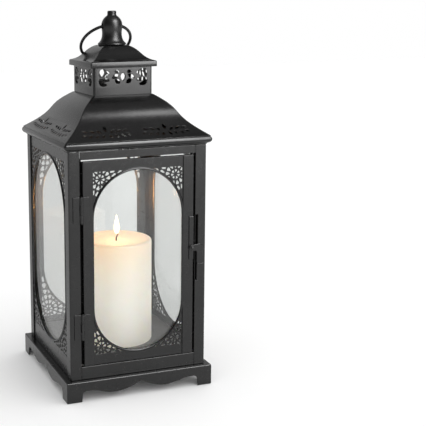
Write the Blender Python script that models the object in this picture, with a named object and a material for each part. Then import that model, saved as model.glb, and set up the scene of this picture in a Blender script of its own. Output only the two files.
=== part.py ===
"""Hurricane candle lantern of folded black sheet metal, with a glazed door and a pillar candle.

Units are metres. +Z is up, the origin is the centre of the plinth's underside, and the door faces -Y,
with its hinges on the -X side and its hook latch on the +X side.
"""

import math

import bmesh
import bpy
from mathutils import Matrix, Vector

MM = 0.001
GAP = 0.3 * MM  # left between pieces that touch

# Driving dimensions: half widths across the square plan, and heights above the ground.
PLINTH_HALF = 104.5 * MM
PLINTH_TOP = 27.8 * MM
BODY_HALF = 96.8 * MM
BODY_BOTTOM = PLINTH_TOP + GAP
BODY_TOP = 333.5 * MM
EAVE_HALF = 103.1 * MM
EAVE_ROLL = 4.9 * MM
COLLAR_HALF = 42.0 * MM
COLLAR_BOTTOM = 398.6 * MM
COLLAR_TOP = 435.3 * MM
CAP_HALF = 47.2 * MM
CAP_BOTTOM = 435.6 * MM
CAP_LIP_TOP = 443.5 * MM
CAP_TOP = 463.6 * MM
FINIAL_BOTTOM = CAP_TOP + GAP
FINIAL_TOP = 510.0 * MM

SHEET = 1.0 * MM  # thickness of the pressed panels, roofs and door
ANGLE = 1.2 * MM  # thickness of the posts and rails
FOLD = 0.35 * MM  # edge rounding on folded sheet
POST_LEG = 15.4 * MM
JAMB_DEPTH = 9.1 * MM
SILL_TOP = 45.3 * MM
HEADER_BOTTOM = 322.9 * MM
FLOOR_TOP = 45.8 * MM

# Side and back panels: a straight-sided hole with half-round ends.
PANEL_OUTER = BODY_HALF - ANGLE - GAP
PANEL_HALF_WIDTH = 93.9 * MM
PANEL_HOLE_RADIUS = 75.5 * MM
PANEL_HOLE_LOW = 56.5 * MM
PANEL_HOLE_HIGH = 318.0 * MM

# Door, between the front posts.
DOOR_LEFT = -77.2 * MM
DOOR_RIGHT = 78.6 * MM
DOOR_BOTTOM = 46.1 * MM
DOOR_TOP = 320.2 * MM
DOOR_DEPTH = 8.0 * MM
STILE_WIDTH = 13.8 * MM
DOOR_HOLE_RADIUS = 62.6 * MM
DOOR_HOLE_LOW = 60.0 * MM
DOOR_HOLE_HIGH = 306.0 * MM

GLASS_THICKNESS = 2.0 * MM
GLASS_HALF_WIDTH = 88.0 * MM
GLASS_BOTTOM = 47.0 * MM
GLASS_TOP = 326.0 * MM
CLIP_HEIGHT = 8.0 * MM
CLIP_SHEET = 0.8 * MM
CLIP_LEVELS = (110.0 * MM, 262.0 * MM)

HINGE_AXIS = Vector((-79.9 * MM, -98.9 * MM, 0.0))
HINGE_HEIGHT = 34.0 * MM
HINGE_BOTTOMS = {"lower": 84.0 * MM, "upper": 240.8 * MM}
KNUCKLE_RADIUS = 2.1 * MM
PIN_HOLE_RADIUS = 1.1 * MM
PIN_RADIUS = 0.9 * MM
LEAF_WIDTH = 8.9 * MM  # from the barrel's face to the leaf's free edge

HOOK_PIVOT = Vector((76.4 * MM, 0.0, 194.2 * MM))
HOOK_FINGER = (82.8 * MM, 91.8 * MM)
KEEPER_TOP = 171.8 * MM
LATCH_FACE = -BODY_HALF - GAP

RING_HOLE_Z = 489.8 * MM
RING_RADIUS = 35.6 * MM
RING_WIRE = 2.05 * MM
RING_SAG = 1.5 * MM  # half of the wire's bow inside the finial
RING_LEAN = math.radians(46.8)  # from hanging straight down to resting on the cap's rear lip

CANDLE_CENTRE = Vector((4.0 * MM, -2.0 * MM, FLOOR_TOP + GAP))
CANDLE_RADIUS = 50.0 * MM
CANDLE_HEIGHT = 146.0 * MM
WICK_RADIUS = 1.2 * MM

# Looks: colour, roughness, metallic, alpha.
BLACK_PAINT = ((0.018, 0.018, 0.019), 0.38, 0.0, 1.0)
CLEAR_GLASS = ((0.86, 0.90, 0.89), 0.03, 0.0, 0.25)
WAX = ((0.93, 0.88, 0.76), 0.45, 0.0, 1.0)
COTTON = ((0.06, 0.05, 0.04), 0.90, 0.0, 1.0)
ZINC = ((0.55, 0.55, 0.56), 0.35, 1.0, 1.0)

CIRCLE = 2.0 * math.pi
CORNERS = ((1, 1), (-1, 1), (-1, -1), (1, -1))  # of a square, in the order that arcs run round it


def clear_scene():
    for obj in list(bpy.data.objects):
        bpy.data.objects.remove(obj)


def finish(obj, look):
    """Give the object its own Principled material."""
    colour, roughness, metallic, alpha = look
    material = bpy.data.materials.new(obj.name + "_finish")
    material.use_nodes = True
    shader = material.node_tree.nodes["Principled BSDF"]
    shader.inputs["Base Color"].default_value = (*colour, 1.0)
    shader.inputs["Roughness"].default_value = roughness
    shader.inputs["Metallic"].default_value = metallic
    shader.inputs["Alpha"].default_value = alpha
    obj.data.materials.append(material)


def add_object(name, bm, look, smooth=False):
    """Turn a bmesh in world coordinates into a finished object with its faces outward."""
    bmesh.ops.recalc_face_normals(bm, faces=bm.faces)
    mesh = bpy.data.meshes.new(name)
    bm.to_mesh(mesh)
    bm.free()
    if smooth:
        mesh.shade_smooth()
        mesh.set_sharp_from_angle(angle=math.radians(35))
    obj = bpy.data.objects.new(name, mesh)
    bpy.context.collection.objects.link(obj)
    finish(obj, look)
    return obj


def add_axis(name, location):
    """An empty that marks a joint's axis and carries the pieces that turn on it."""
    empty = bpy.data.objects.new(name, None)
    empty.location = location
    empty.empty_display_size = 0.02
    bpy.context.collection.objects.link(empty)
    return empty


def set_origin(obj, origin, parent=None):
    """Move the object's origin to a world point without moving its shape."""
    origin = Vector(origin)
    obj.data.transform(Matrix.Translation(-origin))
    obj.location = origin - (parent.location if parent else Vector())
    obj.parent = parent
    return obj


def soften(obj, width=FOLD, segments=1):
    """Round the folded edges."""
    bevel = obj.modifiers.new("Fold", "BEVEL")
    bevel.width = width
    bevel.segments = segments
    bevel.limit_method = "ANGLE"
    bevel.angle_limit = math.radians(50)
    return obj


def box_mesh(low, high):
    bm = bmesh.new()
    bmesh.ops.create_cube(bm, size=1.0)
    size = Vector(high) - Vector(low)
    centre = (Vector(high) + Vector(low)) / 2
    bmesh.ops.scale(bm, vec=size, verts=bm.verts)
    bmesh.ops.translate(bm, vec=centre, verts=bm.verts)
    return bm


def add_box(name, low, high, look):
    return add_object(name, box_mesh(low, high), look)


def to_world(axis, u, v, w):
    """Plane coordinates to world: the plate's thickness runs along the axis."""
    if axis == "X":
        return Vector((w, u, v))
    if axis == "Y":
        return Vector((u, w, v))
    return Vector((u, v, w))


def plate_mesh(outline, holes, axis, low, high):
    """A flat plate of any outline, with holes, from low to high along the axis."""
    bm = bmesh.new()
    edges = []
    for loop in [outline, *holes]:
        verts = [bm.verts.new(to_world(axis, u, v, low)) for u, v in loop]
        edges += [bm.edges.new((verts[i - 1], verts[i])) for i in range(len(verts))]
    bmesh.ops.triangle_fill(bm, use_beauty=True, edges=edges, normal=to_world(axis, 0, 0, 1))
    grown = bmesh.ops.extrude_face_region(bm, geom=bm.faces[:])["geom"]
    top = [item for item in grown if isinstance(item, bmesh.types.BMVert)]
    bmesh.ops.translate(bm, vec=to_world(axis, 0, 0, high - low), verts=top)
    return bm


def add_plate(name, outline, holes, axis, low, high, look):
    return add_object(name, plate_mesh(outline, holes, axis, low, high), look)


def cut(obj, cutter):
    """Subtract the cutter, which stays in the file as a wire guide."""
    cutter.hide_render = True
    cutter.display_type = "WIRE"
    boolean = obj.modifiers.new("Cut", "BOOLEAN")
    boolean.operation = "DIFFERENCE"
    boolean.solver = "EXACT"
    boolean.object = cutter
    return obj


def rectangle(left, right, bottom, top):
    return [(left, bottom), (right, bottom), (right, top), (left, top)]


def arc(centre, radius, start, end, steps):
    """Points on an arc, angles in radians, both ends included."""
    angles = [start + (end - start) * i / steps for i in range(steps + 1)]
    return [(centre[0] + radius * math.cos(a), centre[1] + radius * math.sin(a)) for a in angles]


def capsule(radius, low, high, steps=16):
    """Outline of an upright hole with straight sides and half-round ends."""
    bottom = arc((0.0, low + radius), radius, math.pi, CIRCLE, steps)
    top = arc((0.0, high - radius), radius, 0.0, math.pi, steps)
    return bottom + top


def bezier(p0, p1, p2, p3, steps):
    """Points along a cubic curve, both ends included."""
    points = []
    for i in range(steps + 1):
        t = i / steps
        weights = ((1 - t) ** 3, 3 * t * (1 - t) ** 2, 3 * t * t * (1 - t), t ** 3)
        points.append(tuple(sum(w * p[k] for w, p in zip(weights, (p0, p1, p2, p3))) for k in (0, 1)))
    return points


def turned(name, profile, look, centre=(0.0, 0.0), steps=32, axis="Z"):
    """A turned solid: the profile is (radius, height) from one end to the other, on the axis at both."""
    bm = bmesh.new()
    rings = []
    for radius, height in profile:
        count = 1 if radius < 1e-7 else steps
        ring = []
        for i in range(count):
            angle = CIRCLE * i / steps
            u = centre[0] + radius * math.cos(angle)
            v = centre[1] + radius * math.sin(angle)
            ring.append(bm.verts.new(to_world(axis, u, v, height)))
        rings.append(ring)
    for lower, upper in zip(rings, rings[1:]):
        for i in range(steps):
            j = (i + 1) % steps
            corners = [lower[i % len(lower)], lower[j % len(lower)], upper[j % len(upper)], upper[i % len(upper)]]
            bm.faces.new(list(dict.fromkeys(corners)))
    return add_object(name, bm, look, smooth=True)


def square_ring(bm, half, radius, height, steps):
    """One ring of a rounded square."""
    ring = []
    for quarter, (sx, sy) in enumerate(CORNERS):
        centre = (sx * (half - radius), sy * (half - radius))
        for x, y in arc(centre, radius, quarter * math.pi / 2, (quarter + 1) * math.pi / 2, steps):
            ring.append(bm.verts.new((x, y, height)))
    return ring


def square_shell(name, profile, look, steps=3, smooth=True):
    """A closed section, as (half width, corner radius, height), swept round a square."""
    bm = bmesh.new()
    rings = [square_ring(bm, half, radius, height, steps) for half, radius, height in profile]
    for i, upper in enumerate(rings):
        lower = rings[i - 1]
        for k in range(len(upper)):
            bm.faces.new((lower[k - 1], lower[k], upper[k], upper[k - 1]))
    return add_object(name, bm, look, smooth=smooth)


# Base ------------------------------------------------------------------------------------------


def skirt_cutout():
    """The space under one side of the plinth: feet, a cove, a low swell and a pointed middle."""
    foot = (83.6 * MM, -1.0 * MM)
    cove = (74.5 * MM, 14.7 * MM)
    swell = (35.0 * MM, 8.1 * MM)
    peak = (0.0, 19.4 * MM)
    corner_radius = 5.0 * MM
    half = [foot, (82.8 * MM, cove[1] - corner_radius)]
    half += arc((82.8 * MM - corner_radius, cove[1] - corner_radius), corner_radius, 0.25, math.pi / 2, 4)
    for i in range(1, 9):
        t = i / 8
        drop = (1 - math.cos(math.pi * t)) / 2
        half.append((cove[0] + (swell[0] - cove[0]) * t, cove[1] + (swell[1] - cove[1]) * drop))
    for i in range(1, 9):
        t = i / 8
        half.append((swell[0] * (1 - t), swell[1] + (peak[1] - swell[1]) * t ** 1.7))
    return half + [(-x, z) for x, z in reversed(half[:-1])]


def build_plinth():
    """Folded plinth, rounded along its top edge and upright corners, with a fretted skirt."""
    wall = 1.5 * MM
    bend = 1.2 * MM
    reach = PLINTH_HALF + 2 * MM
    corner = PLINTH_HALF - bend
    outline = []
    for quarter, (sx, sy) in enumerate(CORNERS):
        start = quarter * math.pi / 2
        outline += arc((sx * corner, sy * corner), bend, start, start + math.pi / 2, 3)
    bm = plate_mesh(outline, [], "Z", 0.0, PLINTH_TOP)
    bm.normal_update()
    top_edges = [e for e in bm.edges if e.calc_face_angle() > 1.0 and min(v.co.z for v in e.verts) > wall]
    bmesh.ops.bevel(bm, geom=top_edges, offset=0.8 * MM, segments=2, profile=0.5, affect="EDGES")
    plinth = add_object("plinth", bm, BLACK_PAINT)
    inside = PLINTH_HALF - wall
    hollow = add_box("plinth_hollow", (-inside, -inside, -wall), (inside, inside, PLINTH_TOP - wall), BLACK_PAINT)
    cut(plinth, hollow)
    for axis in ("X", "Y"):
        cutter = add_plate("skirt_cutter_" + axis, skirt_cutout(), [], axis, -reach, reach, BLACK_PAINT)
        cut(plinth, cutter)


def build_floor_pan():
    """A platform with turned-down edges, under the candle."""
    half = PANEL_HALF_WIDTH - 0.4 * MM
    front = -87.4 * MM
    outline = rectangle(-half, half, front, half)
    pan = add_plate("floor_pan", outline, [], "Z", BODY_BOTTOM, FLOOR_TOP, BLACK_PAINT)
    soften(pan, 0.6 * MM, 2)
    low = (-half + SHEET, front + SHEET, BODY_BOTTOM - SHEET)
    high = (half - SHEET, half - SHEET, FLOOR_TOP - SHEET)
    cut(pan, add_box("floor_hollow", low, high, BLACK_PAINT))


# Body ------------------------------------------------------------------------------------------


def build_posts():
    """Corner posts: rounded angles. The front pair turn inward as the door's jambs, and the right one is notched."""
    outer = BODY_HALF
    inner = BODY_HALF - ANGLE
    edge = BODY_HALF - POST_LEG
    jamb = outer - JAMB_DEPTH
    bend = 1.6 * MM
    for name, sx, sy in (("front_left", -1, -1), ("front_right", 1, -1), ("back_left", -1, 1), ("back_right", 1, 1)):
        leg = [(edge, outer), (edge, inner)]
        if sy < 0:
            leg = [(edge, outer), (edge, jamb), (edge + ANGLE, jamb), (edge + ANGLE, inner)]
        outline = leg + [(inner, inner), (inner, edge), (outer, edge)]
        outline += arc((outer - bend, outer - bend), bend, 0.0, math.pi / 2, 4)
        points = [(sx * x, sy * y) for x, y in outline]
        post = add_plate("post_" + name, points, [], "Z", BODY_BOTTOM, BODY_TOP, BLACK_PAINT)
        if name == "front_right":
            low = (edge - MM, -outer - MM, 148.0 * MM)
            high = (edge + 4.3 * MM, -inner, 239.0 * MM)
            cut(post, add_box("latch_notch", low, high, BLACK_PAINT))


def build_rails():
    """Header and sill between the front posts, each an angle with its flange turned inward."""
    half = BODY_HALF - POST_LEG - GAP
    outer = -BODY_HALF
    inner = outer + ANGLE
    flange = outer + 8.6 * MM
    header = [(outer, HEADER_BOTTOM), (flange, HEADER_BOTTOM), (flange, HEADER_BOTTOM + ANGLE)]
    header += [(inner, HEADER_BOTTOM + ANGLE), (inner, BODY_TOP), (outer, BODY_TOP)]
    sill = [(outer, BODY_BOTTOM), (inner, BODY_BOTTOM), (inner, SILL_TOP - ANGLE)]
    sill += [(flange, SILL_TOP - ANGLE), (flange, SILL_TOP), (outer, SILL_TOP)]
    for name, outline in (("header_rail", header), ("sill_rail", sill)):
        rail = add_plate(name, outline, [], "X", -half, half, BLACK_PAINT)
        soften(rail)


SIDES = {"left": ("X", -1), "right": ("X", 1), "back": ("Y", 1)}


def span(sign, near, far):
    """Order two distances from the middle as a low and a high coordinate."""
    return (near, far) if sign > 0 else (-far, -near)


def build_panels():
    """The pressed side and back panels, and the panes held behind them."""
    low_edge = BODY_BOTTOM + GAP
    high_edge = BODY_TOP - GAP
    outline = rectangle(-PANEL_HALF_WIDTH, PANEL_HALF_WIDTH, low_edge, high_edge)
    hole = capsule(PANEL_HOLE_RADIUS, PANEL_HOLE_LOW, PANEL_HOLE_HIGH)
    pane = rectangle(-GLASS_HALF_WIDTH, GLASS_HALF_WIDTH, GLASS_BOTTOM, GLASS_TOP)
    panel_inner = PANEL_OUTER - SHEET
    glass_outer = panel_inner - 0.4 * MM
    for side, (axis, sign) in SIDES.items():
        low, high = span(sign, panel_inner, PANEL_OUTER)
        add_plate("panel_" + side, outline, [hole], axis, low, high, BLACK_PAINT)
        low, high = span(sign, glass_outer - GLASS_THICKNESS, glass_outer)
        soften(add_plate("glass_" + side, pane, [], axis, low, high, CLEAR_GLASS), 0.3 * MM)


def clip_outline(edge):
    """Section of a bent tab: foot on the sheet, riser at the pane's edge, finger over the pane.

    Coordinates are (across the panel, depth behind it); edge is the pane's edge.
    """
    foot = edge + 4.4 * MM
    riser = edge + 0.4 * MM
    finger = edge - 4.0 * MM
    low = GAP
    high = 0.4 * MM + GLASS_THICKNESS + 0.4 * MM
    sheet = CLIP_SHEET
    return [
        (foot, low), (foot, low + sheet), (riser + sheet, low + sheet), (riser + sheet, high + sheet),
        (finger, high + sheet), (finger, high), (riser, high), (riser, low),
    ]


def build_side_clips():
    """Four tabs behind each fixed panel, two at each upright edge of its pane."""
    inner = PANEL_OUTER - SHEET
    outline = clip_outline(GLASS_HALF_WIDTH)
    for side, (axis, sign) in SIDES.items():
        for end, end_sign in (("a", -1), ("b", 1)):
            across = [(end_sign * u, sign * (inner - depth)) for u, depth in outline]
            points = across if axis == "Y" else [(y, x) for x, y in across]
            for level, bottom in zip(("low", "high"), CLIP_LEVELS):
                name = f"clip_{side}_{end}_{level}"
                add_plate(name, points, [], "Z", bottom, bottom + CLIP_HEIGHT, BLACK_PAINT)


# Roof ------------------------------------------------------------------------------------------


def build_main_roof():
    """Ogee roof with a rolled eave and a flange that seats on the posts."""
    roll = (EAVE_HALF - EAVE_ROLL, 340.8 * MM)
    crisp = 1.2 * MM
    bent = 2.5 * MM
    slope = bezier((101.4 * MM, 345.6 * MM), (56.5 * MM, 375.2 * MM), (78.6 * MM, 375.6 * MM),
                   (43.2 * MM, 398.3 * MM), 12)
    outer = [(half, crisp, height) for half, height in reversed(slope[1:])]
    eave = [(half, bent, height) for half, height in arc(roll, EAVE_ROLL, 1.0, -1.5, 8)]
    seat_low = BODY_TOP + GAP
    seat = [(97.5 * MM, 3.0 * MM, seat_low + 0.5 * MM), (96.8 * MM, 3.0 * MM, seat_low),
            (90.0 * MM, crisp, seat_low), (90.0 * MM, crisp, seat_low + SHEET),
            (94.5 * MM, crisp, seat_low + SHEET), (95.2 * MM, 2.0 * MM, 337.0 * MM),
            (96.5 * MM, 2.0 * MM, 344.6 * MM)]
    step = 0.8 * SHEET
    inner = [(half - step, crisp, height - step) for half, height in slope[1:]]
    mouth = 38.0 * MM
    top = 398.3 * MM
    rim = [(mouth, crisp, top - SHEET), (mouth, crisp, top)]
    square_shell("main_roof", outer + eave + seat + inner + rim, BLACK_PAINT)


def build_collar():
    bend = 2.6 * MM
    inner = COLLAR_HALF - SHEET
    section = [(COLLAR_HALF, bend, COLLAR_BOTTOM), (COLLAR_HALF, bend, COLLAR_TOP),
               (inner, bend - SHEET, COLLAR_TOP), (inner, bend - SHEET, COLLAR_BOTTOM)]
    square_shell("vent_collar", section, BLACK_PAINT, steps=4)


def build_cap_roof():
    """Small ogee roof with an upright lip, a seat on the collar and a hole for the finial's screw."""
    crisp = 0.9 * MM
    bent = 1.6 * MM
    lip = CAP_HALF
    slope = bezier((45.7 * MM, CAP_LIP_TOP), (30.6 * MM, 446.8 * MM), (31.1 * MM, 458.2 * MM),
                   (17.0 * MM, CAP_TOP), 10)
    hole = 3.0 * MM
    seat = 38.5 * MM
    step = 0.8 * SHEET
    outer = [(hole, hole, CAP_TOP)] + [(half, crisp, height) for half, height in reversed(slope)]
    edge = [(lip - 0.9 * MM, bent, CAP_LIP_TOP - 0.3 * MM), (lip - 0.1 * MM, bent, CAP_LIP_TOP - 1.1 * MM),
            (lip, bent, CAP_BOTTOM), (seat, crisp, CAP_BOTTOM),
            (seat, crisp, CAP_BOTTOM + SHEET), (lip - SHEET, crisp, CAP_BOTTOM + SHEET),
            (lip - 1.3 * MM, crisp, CAP_LIP_TOP - 1.2 * MM)]
    inner = [(half - step, crisp, height - step) for half, height in slope[1:]]
    square_shell("cap_roof", outer + edge + inner + [(hole, hole, CAP_TOP - step)], BLACK_PAINT)


def build_finial():
    """Bell-shaped turned finial with a button top, bored from below and across for the carry ring."""
    bore = 2.6 * MM
    bore_top = 478.0 * MM
    bell = [(0.0, bore_top), (bore, bore_top), (bore, FINIAL_BOTTOM), (18.6 * MM, FINIAL_BOTTOM)]
    bell += [(19.4 * MM, 464.9 * MM), (19.0 * MM, 466.4 * MM)]
    flare = bezier((19.0 * MM, 466.4 * MM), (14.8 * MM, 469.0 * MM), (12.9 * MM, 475.5 * MM), (13.6 * MM, 482.5 * MM), 7)
    belly = bezier((13.6 * MM, 482.5 * MM), (14.6 * MM, 489.0 * MM), (15.6 * MM, 495.5 * MM), (9.4 * MM, 501.4 * MM), 7)
    neck = bezier((9.4 * MM, 501.4 * MM), (7.6 * MM, 503.0 * MM), (6.3 * MM, 503.4 * MM), (6.1 * MM, 505.0 * MM), 3)
    button = arc((4.4 * MM, 508.3 * MM), 1.7 * MM, 0.0, math.pi / 2, 3)
    profile = bell + flare[1:] + belly[1:] + neck[1:] + button + [(0.0, FINIAL_TOP)]
    finial = turned("finial", profile, BLACK_PAINT, steps=32)
    reach = 20.0 * MM
    hole_radius = 4.0 * MM
    outline = arc((0.0, RING_HOLE_Z), hole_radius, 0.0, CIRCLE * 15 / 16, 15)
    cut(finial, add_plate("ring_hole", outline, [], "X", -reach, reach, BLACK_PAINT))


def build_finial_screw():
    """Hex screw and washer that hold the finial down from inside the cap."""
    head_low = 458.0 * MM
    head_high = 461.0 * MM
    shank = 2.3 * MM
    tip = 476.5 * MM
    profile = [(0.0, head_low), (4.6 * MM, head_low), (4.6 * MM, head_high), (shank, head_high), (shank, tip), (0.0, tip)]
    turned("finial_screw", profile, ZINC, steps=12)
    washer = [arc((0.0, 0.0), 2.9 * MM, 0.0, CIRCLE * 15 / 16, 15)]
    rim = arc((0.0, 0.0), 6.2 * MM, 0.0, CIRCLE * 15 / 16, 15)
    add_plate("finial_washer", rim, washer, "Z", head_high + GAP, CAP_TOP - 0.8 * SHEET - GAP, ZINC)


def build_carry_ring():
    """Wire ring threaded through the finial, leaning back on the cap's rear lip."""
    bm = bmesh.new()
    around = 48
    wire_steps = 10
    hang = RING_RADIUS - RING_SAG
    down = Vector((0.0, math.sin(RING_LEAN), -math.cos(RING_LEAN)))
    normal = Vector((0.0, math.cos(RING_LEAN), math.sin(RING_LEAN)))
    pivot = Vector((0.0, 0.0, RING_HOLE_Z))
    loops = []
    for i in range(around):
        turn = CIRCLE * i / around
        outward = Vector((math.sin(turn), 0.0, 0.0)) - down * math.cos(turn)
        middle = pivot + down * hang + outward * RING_RADIUS
        loop = []
        for k in range(wire_steps):
            angle = CIRCLE * k / wire_steps
            offset = outward * math.cos(angle) + normal * math.sin(angle)
            loop.append(bm.verts.new(middle + offset * RING_WIRE))
        loops.append(loop)
    for i, loop in enumerate(loops):
        before = loops[i - 1]
        for k in range(wire_steps):
            bm.faces.new((before[k - 1], before[k], loop[k], loop[k - 1]))
    ring = add_object("carry_ring", bm, BLACK_PAINT, smooth=True)
    set_origin(ring, pivot)


# Door ------------------------------------------------------------------------------------------


def build_door(axis_empty):
    """Door: a pressed sheet with turned-in top and bottom, two folded stiles, a pane and its tabs."""
    face = -BODY_HALF
    stile_back = face + SHEET
    sheet_front = stile_back + GAP
    sheet_back = sheet_front + SHEET
    depth = face + DOOR_DEPTH
    left = DOOR_LEFT + SHEET + GAP
    right = DOOR_RIGHT - SHEET - GAP

    section = [(sheet_front, DOOR_BOTTOM), (depth, DOOR_BOTTOM), (depth, DOOR_BOTTOM + SHEET)]
    section += [(sheet_back, DOOR_BOTTOM + SHEET), (sheet_back, DOOR_TOP - SHEET), (depth, DOOR_TOP - SHEET)]
    section += [(depth, DOOR_TOP), (sheet_front, DOOR_TOP)]
    panel = add_plate("door_panel", section, [], "X", left, right, BLACK_PAINT)
    hole = capsule(DOOR_HOLE_RADIUS, DOOR_HOLE_LOW, DOOR_HOLE_HIGH)
    hole_cutter = add_plate("door_hole", hole, [], "Y", sheet_front - MM, sheet_back + MM, BLACK_PAINT)
    cut(panel, hole_cutter)

    stiles = {
        "hinge": [(DOOR_LEFT, face), (DOOR_LEFT + STILE_WIDTH, face), (DOOR_LEFT + STILE_WIDTH, stile_back),
                  (DOOR_LEFT + SHEET, stile_back), (DOOR_LEFT + SHEET, depth), (DOOR_LEFT, depth)],
        "latch": [(DOOR_RIGHT, face), (DOOR_RIGHT, depth), (DOOR_RIGHT - SHEET, depth),
                  (DOOR_RIGHT - SHEET, stile_back), (DOOR_RIGHT - STILE_WIDTH - MM, stile_back),
                  (DOOR_RIGHT - STILE_WIDTH - MM, face)],
    }
    pieces = [panel]
    for name, outline in stiles.items():
        stile = add_plate("door_stile_" + name, outline, [], "Z", DOOR_BOTTOM, DOOR_TOP, BLACK_PAINT)
        pieces.append(soften(stile))

    glass_front = sheet_back + 0.4 * MM
    glass_half = 70.0 * MM
    margin = 3.5 * MM
    pane = rectangle(-glass_half, glass_half, DOOR_BOTTOM + margin, DOOR_TOP - margin)
    glass = add_plate("glass_door", pane, [], "Y", glass_front, glass_front + GLASS_THICKNESS, CLEAR_GLASS)
    pieces.append(soften(glass, 0.3 * MM))

    outline = clip_outline(glass_half)
    for end, end_sign in (("a", -1), ("b", 1)):
        points = [(end_sign * u, sheet_back + deep) for u, deep in outline]
        for level, bottom in zip(("low", "high"), CLIP_LEVELS):
            name = f"clip_door_{end}_{level}"
            pieces.append(add_plate(name, points, [], "Z", bottom, bottom + CLIP_HEIGHT, BLACK_PAINT))
    for piece in pieces:
        set_origin(piece, axis_empty.location, axis_empty)


def leaf_outline(direction):
    """Plan of a hinge leaf rolled round its pin; direction is -1 for the post's leaf, +1 for the door's."""
    centre_x, centre_y = HINGE_AXIS.x, HINGE_AXIS.y
    front = LATCH_FACE - SHEET
    back = LATCH_FACE
    start = math.pi - math.asin((front - centre_y) / KNUCKLE_RADIUS)
    end = math.pi - math.asin((back - centre_y) / KNUCKLE_RADIUS) + CIRCLE
    roll = [(math.cos(start + (end - start) * i / 14), math.sin(start + (end - start) * i / 14)) for i in range(15)]
    far = KNUCKLE_RADIUS + LEAF_WIDTH
    outline = [(-far, front - centre_y)]
    outline += [(KNUCKLE_RADIUS * c, KNUCKLE_RADIUS * s) for c, s in roll]
    outline += [(-far, back - centre_y)]
    return [(centre_x - direction * x, centre_y + y) for x, y in outline]


def build_hinge(level, bottom, axis_empty):
    """Butt hinge: the post's leaf has the two end knuckles, the door's leaf the middle one."""
    pin_hole = arc((HINGE_AXIS.x, HINGE_AXIS.y), PIN_HOLE_RADIUS, 0.0, CIRCLE * 11 / 12, 11)
    top = bottom + HINGE_HEIGHT
    third = HINGE_HEIGHT / 3
    clear = KNUCKLE_RADIUS + GAP
    low_x, high_x = HINGE_AXIS.x - clear, HINGE_AXIS.x + clear
    low_y, high_y = HINGE_AXIS.y - clear, HINGE_AXIS.y + clear
    gaps = {
        "post": [(bottom + third, top - third)],
        "door": [(bottom - MM, bottom + third + GAP), (top - third - GAP, top + MM)],
    }
    for owner, direction in (("post", -1), ("door", 1)):
        name = f"hinge_{level}_{owner}_leaf"
        leaf = add_plate(name, leaf_outline(direction), [pin_hole], "Z", bottom, top, BLACK_PAINT)
        for i, (low, high) in enumerate(gaps[owner]):
            cut(leaf, add_box(f"{name}_gap_{i}", (low_x, low_y, low), (high_x, high_y, high), BLACK_PAINT))
        if owner == "door":
            set_origin(leaf, axis_empty.location, axis_empty)
    head = 1.7 * MM
    tall = 0.8 * MM
    profile = [(0.0, bottom - GAP - tall), (head * 0.7, bottom - GAP - tall), (head, bottom - GAP - tall / 2),
               (head, bottom - GAP), (PIN_RADIUS, bottom - GAP), (PIN_RADIUS, top + GAP), (head, top + GAP),
               (head, top + GAP + tall / 2), (head * 0.7, top + GAP + tall), (0.0, top + GAP + tall)]
    turned(f"hinge_{level}_pin", profile, BLACK_PAINT, centre=(HINGE_AXIS.x, HINGE_AXIS.y), steps=12)


# Latch -----------------------------------------------------------------------------------------


def build_latch(axis_empty):
    """A hook that turns on the door's latch plate and drops onto the keeper on the post."""
    plate_front = LATCH_FACE - 1.1 * MM
    hook_back = plate_front - 0.45 * MM
    hook_front = hook_back - 1.4 * MM
    pivot = (HOOK_PIVOT.x, HOOK_PIVOT.z)
    plate = add_plate("latch_plate", rectangle(72.3 * MM, 78.6 * MM, 178.0 * MM, 237.5 * MM), [], "Y",
                      plate_front, LATCH_FACE, BLACK_PAINT)
    soften(plate)
    set_origin(plate, axis_empty.location, axis_empty)

    keeper = add_plate("latch_keeper", rectangle(83.7 * MM, 93.3 * MM, 148.5 * MM, KEEPER_TOP), [], "Y",
                       plate_front, LATCH_FACE, BLACK_PAINT)
    soften(keeper)

    rivet_profile = [(0.0, plate_front - GAP), (1.3 * MM, plate_front - GAP), (1.3 * MM, hook_front - GAP),
                     (2.6 * MM, hook_front - GAP), (2.4 * MM, hook_front - 0.8 * MM), (1.4 * MM, hook_front - 1.2 * MM),
                     (0.0, hook_front - 1.3 * MM)]
    rivet = turned("latch_rivet", rivet_profile, BLACK_PAINT, centre=pivot, steps=14, axis="Y")
    set_origin(rivet, axis_empty.location, axis_empty)

    eye = 4.1 * MM
    left, right = HOOK_FINGER
    bottom = KEEPER_TOP + 0.4 * MM
    outline = arc(pivot, eye, math.pi / 2, 3 * math.pi / 2, 8)
    outline += [(left - 1.2 * MM, pivot[1] - eye), (left, pivot[1] - eye - 1.4 * MM), (left, bottom + 1.0 * MM)]
    outline += [(left + 1.0 * MM, bottom), (right - 1.0 * MM, bottom), (right, bottom + 1.0 * MM)]
    outline += arc((right - 5.0 * MM, pivot[1] + eye + MM - 5.0 * MM), 5.0 * MM, 0.0, math.pi / 2, 4)
    hole = arc(pivot, 1.55 * MM, 0.0, CIRCLE * 13 / 14, 13)
    hook = add_plate("latch_hook", outline, [hole], "Y", hook_front, hook_back, BLACK_PAINT)
    set_origin(hook, (pivot[0], (hook_front + hook_back) / 2, pivot[1]))


# Candle ----------------------------------------------------------------------------------------


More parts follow.
